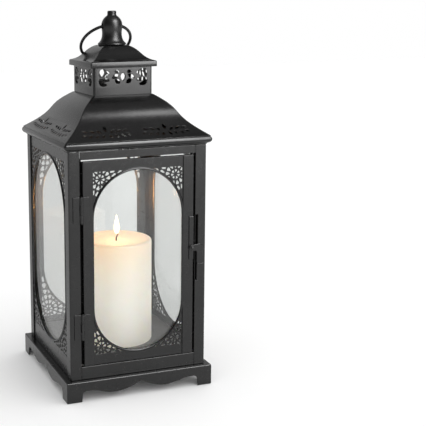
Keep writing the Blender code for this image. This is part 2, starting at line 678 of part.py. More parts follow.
def build_candle():
    """Pillar candle with a rounded shoulder, a shallow melted dish and a wick in it."""
    base = CANDLE_CENTRE.z
    top = base + CANDLE_HEIGHT
    centre = (CANDLE_CENTRE.x, CANDLE_CENTRE.y)
    shoulder = 3.0 * MM
    dish = 2.4 * MM
    wick_hole = WICK_RADIUS + GAP
    seat = top - dish - 12.0 * MM
    profile = [(0.0, base), (CANDLE_RADIUS - MM, base), (CANDLE_RADIUS, base + MM)]
    profile += arc((CANDLE_RADIUS - shoulder, top - shoulder), shoulder, 0.0, math.pi / 2, 4)
    profile += [(43.0 * MM, top - 0.8 * MM), (36.0 * MM, top - dish), (wick_hole, top - dish), (wick_hole, seat), (0.0, seat)]
    candle = turned("candle", profile, WAX, centre=centre, steps=40)
    set_origin(candle, CANDLE_CENTRE)

    bm = bmesh.new()
    rings = []
    sides = 8
    low = seat + GAP
    for height, lean, radius in ((0.0, 0.0, 1.0), (13.0, 0.0, 1.0), (17.0, 0.3, 1.0), (20.0, 1.2, 0.9), (22.0, 2.6, 0.7)):
        middle = Vector((centre[0] + lean * MM, centre[1], low + height * MM))
        ring = []
        for i in range(sides):
            angle = CIRCLE * i / sides
            reach = WICK_RADIUS * radius
            ring.append(bm.verts.new(middle + Vector((reach * math.cos(angle), reach * math.sin(angle), 0.0))))
        rings.append(ring)
    for lower, upper in zip(rings, rings[1:]):
        for i in range(sides):
            bm.faces.new((lower[i - 1], lower[i], upper[i], upper[i - 1]))
    bm.faces.new(rings[0])
    bm.faces.new(rings[-1])
    wick = add_object("wick", bm, COTTON, smooth=True)
    set_origin(wick, CANDLE_CENTRE)


def main():
    clear_scene()
    door_axis = add_axis("door_axis", HINGE_AXIS)
    build_plinth()
    build_floor_pan()
    build_posts()
    build_rails()
    build_panels()
    build_side_clips()
    build_main_roof()
    build_collar()
    build_cap_roof()
    build_finial()
    build_finial_screw()
    build_carry_ring()
    build_door(door_axis)
    for level, bottom in HINGE_BOTTOMS.items():
        build_hinge(level, bottom, door_axis)
    build_latch(door_axis)
    build_candle()


main()
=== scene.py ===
"""Looks of the hurricane candle lantern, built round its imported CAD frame.

Shapes are worked out in millimetres in the frame's axes (+Z up, the door faces -Y) and stored in metres.
"""

import math

import bmesh
import bpy
from mathutils import Matrix, Vector
from mathutils.geometry import delaunay_2d_cdt


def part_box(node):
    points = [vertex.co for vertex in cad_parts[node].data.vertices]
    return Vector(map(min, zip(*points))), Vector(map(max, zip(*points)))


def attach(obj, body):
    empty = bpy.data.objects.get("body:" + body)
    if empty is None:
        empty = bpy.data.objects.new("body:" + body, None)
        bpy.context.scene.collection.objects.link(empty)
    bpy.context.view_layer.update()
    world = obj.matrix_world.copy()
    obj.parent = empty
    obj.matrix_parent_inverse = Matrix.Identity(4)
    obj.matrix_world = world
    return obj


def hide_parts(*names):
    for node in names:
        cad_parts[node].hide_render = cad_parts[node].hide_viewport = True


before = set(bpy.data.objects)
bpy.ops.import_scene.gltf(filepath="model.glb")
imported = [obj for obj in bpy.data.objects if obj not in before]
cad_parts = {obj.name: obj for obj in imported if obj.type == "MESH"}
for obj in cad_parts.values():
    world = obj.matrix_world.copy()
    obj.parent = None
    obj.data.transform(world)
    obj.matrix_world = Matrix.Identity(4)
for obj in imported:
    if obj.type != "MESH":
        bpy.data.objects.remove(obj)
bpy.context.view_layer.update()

MM = 0.001
CIRCLE = 2 * math.pi
CORNERS = ((1, 1), (-1, 1), (-1, -1), (1, -1))

# Driving sizes in millimetres.
PANEL_SHEET = 1.0
ROOF_SHEET = 0.8
SIDE_WINDOW = (75.5, 56.5, 318.0)  # radius of the round ends, lowest and highest point
DOOR_WINDOW = (62.6, 60.0, 306.0)
LACE_MARGIN = 2.9  # plain sheet between a window and its lace
RING_HEIGHT = 489.8  # of the drilled hole through the finial
# Depth of the dark strips behind the door gaps, which paint the gaps as shade.
GAP_SHADE_FRONT, GAP_SHADE_BACK = -88.3, -87.7
DOOR_GAP_LEVELS = (46.4, 322.4)
NOTCH_LEVELS = (145.0, 242.0)


def limits(node):
    """A CAD node's lowest and highest corners, in millimetres."""
    low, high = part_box(node)
    return low / MM, high / MM


# Outlines --------------------------------------------------------------------------------------


def arc(centre, radius, start, end, steps):
    angles = [start + (end - start) * i / steps for i in range(steps + 1)]
    return [(centre[0] + radius * math.cos(a), centre[1] + radius * math.sin(a)) for a in angles]


def capsule(radius, low, high, steps=28):
    """Outline of an upright opening with straight sides and half-round ends."""
    bottom = arc((0.0, low + radius), radius, math.pi, CIRCLE, steps)
    top = arc((0.0, high - radius), radius, 0.0, math.pi, steps)
    return bottom + top


def rounded_rectangle(left, right, bottom, top, radius, steps=3):
    points = []
    centres = ((right - radius, top - radius), (left + radius, top - radius),
               (left + radius, bottom + radius), (right - radius, bottom + radius))
    for quarter, centre in enumerate(centres):
        points += arc(centre, radius, quarter * math.pi / 2, (quarter + 1) * math.pi / 2, steps)
    return points


def bezier(p0, p1, p2, p3, steps):
    points = []
    for i in range(steps + 1):
        t = i / steps
        weights = ((1 - t) ** 3, 3 * t * (1 - t) ** 2, 3 * t * t * (1 - t), t ** 3)
        points.append(tuple(sum(w * p[k] for w, p in zip(weights, (p0, p1, p2, p3))) for k in (0, 1)))
    return points


def leaf(centre, length, width, angle, sharpness=1.25, steps=7):
    """A leaf-shaped opening, pointed at both ends."""
    points = []
    turn = math.radians(angle)
    for side in (1, -1):
        for i in range(steps):
            along = -1 + 2 * i / steps
            across = side * width / 2 * (1 - abs(along) ** sharpness)
            x, y = side * along * length / 2, across
            points.append((centre[0] + x * math.cos(turn) - y * math.sin(turn),
                           centre[1] + x * math.sin(turn) + y * math.cos(turn)))
    return points


def mirrored(loops):
    """The loops and their mirror images across the middle line."""
    return loops + [[(-x, y) for x, y in reversed(loop)] for loop in loops]


# Meshes ----------------------------------------------------------------------------------------


def signed_area(points):
    return sum(points[i - 1][0] * p[1] - p[0] * points[i - 1][1] for i, p in enumerate(points)) / 2


def fill(loops, lines=()):
    """Triangulate the first loop less the others; lines are extra creases across it."""
    points, faces = [], []
    for loop in loops:
        loop = loop if signed_area(loop) > 0 else loop[::-1]
        faces.append(list(range(len(points), len(points) + len(loop))))
        points += [Vector(p) for p in loop]
    edges = []
    for a, b in lines:
        edges.append((len(points), len(points) + 1))
        points += [Vector(a), Vector(b)]
    verts, _, tris, _, _, owners = delaunay_2d_cdt(points, edges, faces, 0, 1e-5, True)
    kept = [tri for tri, own in zip(tris, owners) if own and set(own) == {0}]
    return verts, kept


def add_surface(bm, verts, faces, place, cache):
    """Add flat triangles to a mesh through a placing function, sharing points that coincide."""
    for face in faces:
        corners = []
        for index in face:
            point = place(verts[index])
            corners.append(shared_vert(bm, point, cache))
        if len(set(corners)) == len(corners):
            try:
                bm.faces.new(corners)
            except ValueError:
                pass


def shared_vert(bm, point, cache):
    key = tuple(round(c, 3) for c in point)
    if key not in cache:
        cache[key] = bm.verts.new([c * MM for c in point])
    return cache[key]


def strip(bm, rows, cache, closed=True):
    """Quads between rows of points."""
    for lower, upper in zip(rows, rows[1:]):
        count = len(lower)
        for k in range(0 if closed else 1, count):
            points = (lower[k - 1], lower[k], upper[k], upper[k - 1])
            corners = list(dict.fromkeys(shared_vert(bm, p, cache) for p in points))
            if len(corners) > 2:
                try:
                    bm.faces.new(corners)
                except ValueError:
                    pass


def smooth_mesh(mesh, sharp_angle):
    mesh.shade_smooth()
    mesh.set_sharp_from_angle(angle=math.radians(sharp_angle))


def apply_modifiers(obj):
    graph = bpy.context.evaluated_depsgraph_get()
    mesh = bpy.data.meshes.new_from_object(obj.evaluated_get(graph), depsgraph=graph)
    obj.modifiers.clear()
    obj.data = mesh


def settle(obj, sharp_angle=38):
    """Apply the piece's modifiers and set its smooth shading."""
    apply_modifiers(obj)
    smooth_mesh(obj.data, sharp_angle)


def flatten_broad_faces(obj):
    """Let each broad face shade flat, so that only the rounded edges turn the light."""
    weighted = obj.modifiers.new("Broad faces", "WEIGHTED_NORMAL")
    weighted.mode = "FACE_AREA"
    weighted.weight = 100
    weighted.keep_sharp = True
    apply_modifiers(obj)


def add_piece(name, bm, body, material, stands_for=(), sharp_angle=38):
    """Turn a bmesh into a piece that rides on a CAD body."""
    mesh = bpy.data.meshes.new(name)
    bm.to_mesh(mesh)
    bm.free()
    smooth_mesh(mesh, sharp_angle)
    obj = bpy.data.objects.new(name, mesh)
    bpy.context.scene.collection.objects.link(obj)
    obj.data.materials.append(material)
    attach(obj, body)
    if stands_for:
        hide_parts(*stands_for)
    return obj


def face_outward(bm, outward):
    """Make the faces of an open sheet agree, with the first face's side given by outward(centre)."""
    bmesh.ops.recalc_face_normals(bm, faces=bm.faces)
    bm.normal_update()
    score = sum(face.normal.dot(outward(face.calc_center_median())) * face.calc_area() for face in bm.faces)
    if score < 0:
        bmesh.ops.reverse_faces(bm, faces=bm.faces)


def thicken(obj, thickness, sharp_angle=38):
    """Give an open sheet its thickness, on the side away from its normals."""
    solid = obj.modifiers.new("Thickness", "SOLIDIFY")
    solid.thickness = thickness * MM
    solid.offset = -1.0
    solid.use_even_offset = True
    settle(obj, sharp_angle)


def add_box_to(bm, low, high, bevel=0.3):
    """Add a box with rounded edges to a mesh."""
    made = bmesh.ops.create_cube(bm, size=1.0)
    verts = made["verts"]
    size = (Vector(high) - Vector(low)) * MM
    centre = (Vector(high) + Vector(low)) / 2 * MM
    bmesh.ops.scale(bm, vec=size, verts=verts)
    bmesh.ops.translate(bm, vec=centre, verts=verts)
    edges = list({edge for vert in verts for edge in vert.link_edges})
    bmesh.ops.bevel(bm, geom=edges, offset=bevel * MM, segments=2, profile=0.5, affect="EDGES")


def lathe(bm, profile, centre=(0.0, 0.0), steps=64, wobble=None, cache=None):
    """A turned shape from (radius, height) points; wobble(angle, height) scales the radius."""
    rows = []
    for radius, height in profile:
        row = []
        for i in range(steps):
            angle = CIRCLE * i / steps
            reach = radius * (wobble(angle, height) if wobble else 1.0)
            row.append((centre[0] + reach * math.cos(angle), centre[1] + reach * math.sin(angle), height))
        rows.append(row)
    strip(bm, rows, {} if cache is None else cache)
    bmesh.ops.recalc_face_normals(bm, faces=bm.faces)


# Materials -------------------------------------------------------------------------------------


def new_material(name):
    material = bpy.data.materials.new(name)
    material.use_nodes = True
    material.node_tree.nodes.clear()
    return material, material.node_tree


def add_node(tree, kind, inputs=None, **settings):
    node = tree.nodes.new("ShaderNode" + kind)
    for key, value in settings.items():
        setattr(node, key, value)
    for key, value in (inputs or {}).items():
        if isinstance(value, bpy.types.NodeSocket):
            tree.links.new(value, node.inputs[key])
        else:
            node.inputs[key].default_value = value
    return node


def finish_material(tree, shader):
    output = add_node(tree, "OutputMaterial")
    tree.links.new(shader, output.inputs["Surface"])


def noise(tree, place, scale, detail=2.0, roughness=0.5):
    made = add_node(tree, "TexNoise", {
        "Vector": place, "Scale": scale, "Detail": detail, "Roughness": roughness})
    return made.outputs["Fac"]


def spread(tree, value, low, high, new_low, new_high):
    """Map a value's range onto another."""
    made = add_node(tree, "MapRange", {"Value": value, "From Min": low, "From Max": high,
                                       "To Min": new_low, "To Max": new_high})
    return made.outputs["Result"]


def math_node(tree, operation, first, second=0.0):
    made = add_node(tree, "Math", {0: first, 1: second}, operation=operation)
    return made.outputs[0]


def mix_colour(tree, share, first, second):
    made = add_node(tree, "Mix", data_type="RGBA")
    for key, value in (("Factor", share), ("A", first), ("B", second)):
        socket = [s for s in made.inputs if s.name == key and (s.type == "RGBA" or key == "Factor")][0]
        if isinstance(value, bpy.types.NodeSocket):
            tree.links.new(value, socket)
        else:
            socket.default_value = value
    return [s for s in made.outputs if s.type == "RGBA"][0]


def grey(value, warmth=0.0):
    return (value * (1 + warmth), value, value * (1 - warmth), 1.0)


def edge_mask(tree, radius):
    """How far the surface turns within the radius: 0 on flats, 1 along edges; with the rounded normal."""
    rounded = add_node(tree, "Bevel", {"Radius": radius * MM}, samples=4).outputs["Normal"]
    flat = add_node(tree, "NewGeometry").outputs["Normal"]
    made = add_node(tree, "VectorMath", {0: rounded, 1: flat}, operation="DOT_PRODUCT")
    turned = math_node(tree, "SUBTRACT", 1.0, made.outputs["Value"])
    return spread(tree, turned, 0.02, 0.22, 0.0, 1.0), rounded


def painted_metal(name, dark=0.004, light=0.007, roughness=(0.21, 0.29), gloss=0.42, peel=0.05, edge_wear_and_highlight=0.3):
    """Black powder coat: slow colour drift, orange peel, scuffs, and edges lightened partly as wear and
    partly as a painted highlight.
    """
    material, tree = new_material(name)
    place = add_node(tree, "TexCoord").outputs["Object"]
    drift = noise(tree, place, 22.0, 3.0)
    grain = noise(tree, place, 1100.0, 2.0)
    scuff = noise(tree, place, 170.0, 5.0, 0.65)
    edge, rounded = edge_mask(tree, 0.7)
    # Scuffed edges turn a lighter grey: partly wear, partly a painted highlight along the edges.
    worn_edge_and_painted_highlight = math_node(tree, "MULTIPLY", edge, spread(tree, scuff, 0.42, 0.68, 0.0, edge_wear_and_highlight))
    body = mix_colour(tree, spread(tree, drift, 0.3, 0.7, 0.0, 1.0), grey(dark), grey(light))
    colour = mix_colour(tree, worn_edge_and_painted_highlight, body, grey(0.16, 0.03))
    shine = spread(tree, scuff, 0.3, 0.7, *roughness)
    bump = add_node(tree, "Bump", {
        "Height": grain, "Strength": peel, "Distance": 0.00006, "Normal": rounded})
    shader = add_node(tree, "BsdfPrincipled", {
        "Base Color": colour, "Roughness": shine, "Specular IOR Level": gloss,
        "Normal": bump.outputs["Normal"]})
    finish_material(tree, shader.outputs[0])
    return material


def clear_glass(name):
    """Thin float glass: a faint tint, reflections that grow at a slant, and a few smears."""
    material, tree = new_material(name)
    place = add_node(tree, "TexCoord").outputs["Object"]
    smear = noise(tree, place, 35.0, 4.0, 0.6)
    slant = add_node(tree, "LayerWeight", {"Blend": 0.5}).outputs["Facing"]
    smeared = spread(tree, smear, 0.35, 0.7, 0.0, 1.0)
    clear = mix_colour(tree, smeared, (0.925, 0.932, 0.928, 1), (0.91, 0.918, 0.912, 1))
    tint = mix_colour(tree, slant, clear, (0.84, 0.845, 0.84, 1))
    through = add_node(tree, "BsdfTransparent", {"Color": tint})
    shine = spread(tree, smear, 0.3, 0.8, 0.01, 0.05)
    gloss = add_node(tree, "BsdfGlossy", {"Color": grey(1.0), "Roughness": shine})
    share = spread(tree, math_node(tree, "POWER", slant, 5.0), 0.0, 1.0, 0.045, 0.85)
    mixed = add_node(tree, "MixShader", {0: share, 1: through.outputs[0], 2: gloss.outputs[0]})
    finish_material(tree, mixed.outputs[0])
    return material


def candle_wax(name):
    """Ivory wax with faint casting ripples, and a painted glow: colour and emission turn warm towards the
    top and the -X side, standing in for the flame's light in the wax.
    """
    material, tree = new_material(name)
    low, high = limits("candle")
    place = add_node(tree, "TexCoord").outputs["Object"]
    parts = add_node(tree, "SeparateXYZ", {"Vector": place})
    height = spread(tree, parts.outputs["Z"], low.z * MM, high.z * MM, 0.0, 1.0)
    # Painted light: a warm glow, strongest near the top and on the -X side, in the colour and as emission.
    side = spread(tree, parts.outputs["X"], low.x * MM, high.x * MM, 1.0, 0.25)
    mottle = noise(tree, place, 60.0, 3.0)
    ivory = mix_colour(tree, mottle, (0.95, 0.91, 0.85, 1), (0.98, 0.955, 0.91, 1))
    rise = spread(tree, height, 0.35, 1.0, 0.0, 1.0)
    warm = math_node(tree, "MULTIPLY", math_node(tree, "POWER", rise, 1.6), side)
    colour = mix_colour(tree, warm, ivory, (0.98, 0.76, 0.50, 1))
    stretched = add_node(tree, "Mapping", {"Vector": place, "Scale": (30.0, 30.0, 260.0)}).outputs[0]
    ripple = noise(tree, stretched, 1.0, 2.0)
    bump = add_node(tree, "Bump", {"Height": ripple, "Strength": 0.12, "Distance": 0.0004})
    shine = spread(tree, mottle, 0.3, 0.7, 0.38, 0.5)
    # The painted glow also shines as emission, though the wax is no lamp.
    glow = mix_colour(tree, warm, (1.0, 0.87, 0.70, 1), (1.0, 0.58, 0.28, 1))
    power = spread(tree, warm, 0.0, 1.0, 0.32, 0.48)
    shader = add_node(tree, "BsdfPrincipled", {
        "Base Color": colour, "Roughness": shine, "Subsurface Weight": 0.5,
        "Subsurface Radius": (0.03, 0.014, 0.007), "Subsurface Scale": 0.6,
        "Emission Color": glow, "Emission Strength": power, "Normal": bump.outputs["Normal"]})
    finish_material(tree, shader.outputs[0])
    return material


def charred_cotton(name):
    material, tree = new_material(name)
    place = add_node(tree, "TexCoord").outputs["Object"]
    braid = add_node(tree, "TexWave", {"Vector": place, "Scale": 600.0, "Distortion": 3.0}).outputs["Fac"]
    colour = mix_colour(tree, braid, (0.012, 0.009, 0.007, 1), (0.09, 0.05, 0.03, 1))
    bump = add_node(tree, "Bump", {"Height": braid, "Strength": 0.8, "Distance": 0.0003})
    shader = add_node(tree, "BsdfPrincipled", {
        "Base Color": colour, "Roughness": spread(tree, braid, 0.0, 1.0, 0.8, 0.95),
        "Normal": bump.outputs["Normal"]})
    finish_material(tree, shader.outputs[0])
    return material


def flame_glow(name):
    """White-hot middle, yellow edge and an orange tip."""
    material, tree = new_material(name)
    place = add_node(tree, "TexCoord").outputs["Generated"]
    height = add_node(tree, "SeparateXYZ", {"Vector": place}).outputs["Z"]
    rim = add_node(tree, "LayerWeight", {"Blend": 0.35}).outputs["Facing"]
    warm = mix_colour(tree, rim, (1.0, 0.86, 0.58, 1), (1.0, 0.55, 0.16, 1))
    colour = mix_colour(tree, spread(tree, height, 0.0, 0.25, 1.0, 0.0), warm, (0.9, 0.5, 0.25, 1))
    power = spread(tree, height, 0.0, 0.3, 2.0, 9.0)
    shader = add_node(tree, "Emission", {"Color": colour, "Strength": power})
    finish_material(tree, shader.outputs[0])
    return material


def zinc_plate(name):
    material, tree = new_material(name)
    place = add_node(tree, "TexCoord").outputs["Object"]
    spangle = noise(tree, place, 500.0, 4.0)
    colour = mix_colour(tree, spangle, grey(0.42), grey(0.62, 0.02))
    bump = add_node(tree, "Bump", {"Height": spangle, "Strength": 0.15, "Distance": 0.0001})
    shader = add_node(tree, "BsdfPrincipled", {
        "Base Color": colour, "Metallic": 1.0, "Roughness": spread(tree, spangle, 0.0, 1.0, 0.28, 0.45),
        "Normal": bump.outputs["Normal"]})
    finish_material(tree, shader.outputs[0])
    return material


SATIN = painted_metal("satin_black")
ROOF_SATIN = painted_metal("roof_satin", roughness=(0.20, 0.27))
COLLAR_SATIN = painted_metal("collar_satin", roughness=(0.18, 0.24), gloss=0.38)
GLOSS = painted_metal("gloss_black", dark=0.003, light=0.005, roughness=(0.33, 0.40), gloss=0.44,
                      peel=0.03, edge_wear_and_highlight=0.15)
# Matte black for the strips behind the door gaps: painted shade.
GAP_SHADE_BLACK = painted_metal("painted_gap_shade", dark=0.006, light=0.01, roughness=(0.6, 0.7), gloss=0.1)
FLOOR_SATIN = painted_metal("pan_satin", dark=0.11, light=0.15, roughness=(0.4, 0.5))
GLASS = clear_glass("window_glass")
WAX = candle_wax("candle_wax")
COTTON = charred_cotton("wick_cotton")
FLAME = flame_glow("flame_glow")
ZINC = zinc_plate("zinc_plate")


# Fretwork --------------------------------------------------------------------------------------


def petal(centre, near, far, angle, half_angle, bar):
    """An opening between two rings of a rosette, pointed towards its middle."""
    shape = ((0.0, 0.0), (0.25, 0.55), (0.6, 1.0), (0.85, 0.9), (1.0, 0.45))
    left, right = [], []
    for along, wide in shape:
        reach = near + (far - near) * along
        across = max(reach * half_angle - bar / 2, 0.25) * wide
        base = (centre[0] + reach * math.cos(angle), centre[1] + reach * math.sin(angle))
        side = (-math.sin(angle) * across, math.cos(angle) * across)
        left.append((base[0] + side[0], base[1] + side[1]))
        if across > 0:
            right.append((base[0] - side[0], base[1] - side[1]))
    return right + left[::-1]


def clip(points, normal, offset):
    """The part of a convex loop where normal . point > offset."""
    kept = []
    for i, point in enumerate(points):
        before = points[i - 1]
        now = point[0] * normal[0] + point[1] * normal[1] - offset
        was = before[0] * normal[0] + before[1] * normal[1] - offset
        if (now > 0) != (was > 0):
            t = was / (was - now)
            kept.append((before[0] + (point[0] - before[0]) * t, before[1] + (point[1] - before[1]) * t))
        if now > 0:
            kept.append(point)
    return kept


def tidy_loop(points, least=0.25):
    """Drop points that nearly coincide."""
    kept = []
    for point in points:
        if not kept or math.dist(point, kept[-1]) > least:
            kept.append(point)
    while len(kept) > 1 and math.dist(kept[0], kept[-1]) < least:
        kept.pop()
    return kept


def corner_lace(window_centre, window_radius):
    """Openings of one corner's quarter rosette.

    Coordinates run from the fretwork's outer corner towards the middle of the panel.
    """
    heart = (10.5, 11.0)
    bar = 1.25
    rings = ((1.6, 6.4, 7), (7.9, 14.2, 13), (15.6, 22.6, 19),
             (24.0, 31.5, 25), (32.9, 41.5, 31), (42.9, 52.5, 37))
    openings = []
    for number, (near, far, count) in enumerate(rings):
        for i in range(count):
            angle = CIRCLE * (i + 0.5 * (number % 2)) / count + 0.12
            loop = petal(heart, near, far, angle, math.pi / count, bar)
            loop = clip(loop, (1, 0), bar * 0.6)
            loop = clip(loop, (0, 1), bar * 0.6)
            if len(loop) < 3:
                continue
            middle = Vector((sum(p[0] for p in loop), sum(p[1] for p in loop))) / len(loop)
            away = (middle - Vector(window_centre)).normalized()
            limit = away.dot(Vector(window_centre)) + window_radius
            loop = tidy_loop(clip(loop, away, limit))
            if len(loop) > 2 and abs(signed_area(loop)) > 1.3:
                openings.append(loop)
    return openings


def fretwork(half_width, low, high, window_radius, window_low, window_high, rim):
    """All four corners of lace between a rectangle and the window's rim."""
    openings = []
    for up, edge, arch in ((-1, high, window_high - window_radius), (1, low, window_low + window_radius)):
        centre = (half_width, abs(edge - arch))
        for loop in corner_lace(centre, window_radius + rim):
            for side in (-1, 1):
                openings.append([(side * (half_width - u), edge + up * v) for u, v in loop])
    return openings


# Window panels and door ------------------------------------------------------------------------


# The bead's section: distance outside the window's edge, and depth into the lantern.
RIM = ((2.8, 0.0), (2.5, -0.6), (2.0, -1.1), (1.35, -1.35),
       (0.7, -1.3), (0.1, -0.9), (-0.35, -0.2), (-0.5, 0.6))


def pressed_sheet(bm, outline, window, openings, place):
    """A sheet with a raised bead round its window.

    window is (radius, low, high); place(u, v, depth) puts a point in the frame, depth going inward.
    """
    radius, low, high = window
    cache = {}
    bead = [capsule(radius + out, low - out, high + out) for out, _ in RIM]
    verts, faces = fill([outline, bead[0], *openings])
    add_surface(bm, verts, faces, lambda p: place(p[0], p[1], 0.0), cache)
    rows = [[place(u, v, deep) for u, v in loop] for loop, (_, deep) in zip(bead, RIM)]
    strip(bm, rows, cache)


def side_panel(side):
    """A fixed window panel: left, right or back."""
    node = "panel_" + side
    low, high = limits(node)
    across = "X" if side != "back" else "Y"
    half = high.y if across == "X" else high.x
    face = {"left": low.x, "right": high.x, "back": high.y}[side]
    sign = -1 if side == "left" else 1

    def place(u, v, deep):
        reach = face - sign * deep
        return (reach, u, v) if across == "X" else (u, reach, v)

    outline = rounded_rectangle(-half, half, low.z, high.z, 0.5, 1)
    openings = fretwork(80.0, 54.0, 320.0, *SIDE_WINDOW, LACE_MARGIN)
    bm = bmesh.new()
    pressed_sheet(bm, outline, SIDE_WINDOW, openings, place)
    outward = Vector((sign, 0, 0)) if across == "X" else Vector((0, 1, 0))
    face_outward(bm, lambda centre: outward)
    obj = add_piece("window_panel_" + side, bm, "frame", SATIN, [node])
    thicken(obj, PANEL_SHEET)


def door_sheet():
    """The door's pressed sheet with its turned-in top and bottom edges."""
    low, high = limits("door_panel")
    front = low.y

    def place(u, v, deep):
        return (u, front + deep, v)

    outline = rounded_rectangle(low.x, high.x, low.z, high.z, 0.5, 1)
    openings = fretwork(63.5, 59.5, 307.0, *DOOR_WINDOW, LACE_MARGIN)
    bm = bmesh.new()
    pressed_sheet(bm, outline, DOOR_WINDOW, openings, place)
    face_outward(bm, lambda centre: Vector((0, -1, 0)))
    obj = add_piece("door_sheet", bm, "door", SATIN, ["door_panel"])
    thicken(obj, PANEL_SHEET)
    inside = front + PANEL_SHEET
    bm = bmesh.new()
    bm.from_mesh(obj.data)
    add_box_to(bm, (low.x, inside, low.z), (high.x, high.y, low.z + PANEL_SHEET), 0.2)
    add_box_to(bm, (low.x, inside, high.z - PANEL_SHEET), (high.x, high.y, high.z), 0.2)
    bm.to_mesh(obj.data)
    bm.free()
    smooth_mesh(obj.data, 38)


# Roofs -----------------------------------------------------------------------------------------


def square_row(half, radius, height, steps=4):
    """One row of a rounded square, counterclockwise from the +X side."""
    row = []
    for quarter, (sx, sy) in enumerate(CORNERS):
        centre = (sx * (half - radius), sy * (half - radius))
        start = quarter * math.pi / 2
        row += [(x, y, height) for x, y in arc(centre, radius, start, start + math.pi / 2, steps)]
    return row


def corner_strips(bm, profile, cache, steps=4):
    """The rounded corners between four flat faces."""
    rows = [square_row(half, radius, height, steps) for half, radius, height in profile]
    width = steps + 1
    for quarter in range(4):
        parts = [row[quarter * width:(quarter + 1) * width] for row in rows]
        strip(bm, parts, cache, closed=False)


def pierced_faces(bm, profile, openings, cache):
    """Four alike faces that follow a profile of (half width, corner radius, height), with openings.

    Openings are in (across, distance along the profile from its first point).
    """
    lengths = [0.0]
    for a, b in zip(profile, profile[1:]):
        lengths.append(lengths[-1] + math.dist((a[0], a[2]), (b[0], b[2])))
    reach = [half - radius for half, radius, _ in profile]
    right = list(zip(reach, lengths))
    outline = right + [(-w, s) for w, s in reversed(right)]
    lines = [((-w, s), (w, s)) for w, s in right[1:-1]]
    verts, faces = fill([outline, *openings], lines)

    def on_profile(s):
        for i in range(1, len(lengths)):
            if s <= lengths[i] + 1e-6:
                break
        t = (s - lengths[i - 1]) / (lengths[i] - lengths[i - 1])
        half = profile[i - 1][0] + (profile[i][0] - profile[i - 1][0]) * t
        height = profile[i - 1][2] + (profile[i][2] - profile[i - 1][2]) * t
        return half, height

    for turn in range(4):
        c, s = round(math.cos(turn * math.pi / 2)), round(math.sin(turn * math.pi / 2))

        def place(p):
            half, height = on_profile(p[1])
            x, y = p[0], -half
            return (x * c - y * s, x * s + y * c, height)

        add_surface(bm, verts, faces, place, cache)


def sprig(centre):
    """Openings of one leafy sprig, mirrored about an upright leaf."""
    half = []
    for along, up, length, width, angle in (
            (5.0, 9.6, 8.6, 4.4, -68), (13.6, 9.8, 8.6, 4.4, -58), (22.6, 10.6, 8.4, 4.2, -46),
            (30.8, 12.4, 7.6, 3.8, -30), (9.2, 18.6, 9.4, 4.2, 48), (17.6, 19.0, 9.6, 4.0, 30),
            (27.2, 19.8, 9.6, 3.8, 14)):
        half.append(leaf((along, up), length, width, angle, 1.5))
    upright = [leaf((0.0, 23.0), 11.5, 5.6, 90, 1.5)]
    loops = mirrored(half) + upright
    return [[(x + centre, y) for x, y in loop] for loop in loops]


def main_roof():
    """Ogee roof with two pierced sprigs on each face and a rolled eave."""
    crisp = 1.2
    slope = bezier((101.4, 345.6), (56.5, 375.2), (78.6, 375.6), (43.2, 398.3), 26)
    profile = [(half, crisp, height) for half, height in slope]
    bm = bmesh.new()
    cache = {}
    pierced_faces(bm, profile, sprig(-41.5) + sprig(41.5), cache)
    corner_strips(bm, profile, cache)
    roll = arc((98.2, 340.8), 4.9, 1.0, -1.5, 18)
    eave = [(profile[0][0], crisp, profile[0][2])]
    for i, (half, height) in enumerate(roll):
        eave.append((half, min(crisp + 0.4 * (i + 1), 2.5), height))
    eave += [(98.2, 2.5, 335.2), (97.5, 2.5, 334.2), (96.8, 2.5, 333.8), (90.0, 2.5, 333.8)]
    strip(bm, [square_row(*level) for level in eave], cache)
    top = [profile[-1], (40.0, crisp, 398.3), (38.0, crisp, 398.0)]
    strip(bm, [square_row(*level) for level in top], cache)
    face_outward(bm, lambda centre: Vector((centre.x, centre.y, 0.03)).normalized())
    obj = add_piece("ogee_roof", bm, "frame", ROOF_SATIN, ["main_roof"])
    thicken(obj, ROOF_SHEET, 50)


def scrolls():
    """The collar's openings on one face: a curled pair, a three-lobed hook and a middle almond, mirrored."""
    upper_curl = [(33.2, 23.9), (34.6, 27.2), (34.4, 31.0), (32.4, 34.2), (28.8, 35.3),
                  (25.6, 34.4), (24.2, 32.5), (22.2, 32.4), (19.7, 30.9), (19.4, 28.7),
                  (22.2, 27.0), (24.4, 26.5), (25.0, 23.9)]
    lower_curl = [(33.5, 22.5), (28.0, 22.9), (22.4, 22.5), (19.5, 21.2), (19.4, 18.6),
                  (23.6, 17.9), (28.2, 16.9), (24.8, 15.7), (22.9, 14.2), (24.2, 12.4),
                  (27.4, 11.6), (31.2, 12.2), (34.0, 14.9), (34.9, 18.8)]
    half = [upper_curl, lower_curl, leaf((8.7, 31.2), 7.4, 4.8, 8, 2.6),
            leaf((11.4, 24.9), 11.4, 5.6, -30, 2.2), leaf((8.0, 18.4), 9.2, 6.4, 38, 2.4)]
    return mirrored(half) + [leaf((0.0, 24.6), 12.6, 7.2, 90, 1.6)]


def vent_collar():
    """Square collar under the cap, pierced on all four faces."""
    low, high = limits("vent_collar")
    profile = [(high.x, 2.6, low.z + (high.z - low.z) * i / 4) for i in range(5)]
    bm = bmesh.new()
    cache = {}
    pierced_faces(bm, profile, scrolls(), cache)
    corner_strips(bm, profile, cache, 6)
    face_outward(bm, lambda centre: Vector((centre.x, centre.y, 0)).normalized())
    obj = add_piece("pierced_collar", bm, "frame", COLLAR_SATIN, ["vent_collar"])
    thicken(obj, PANEL_SHEET)


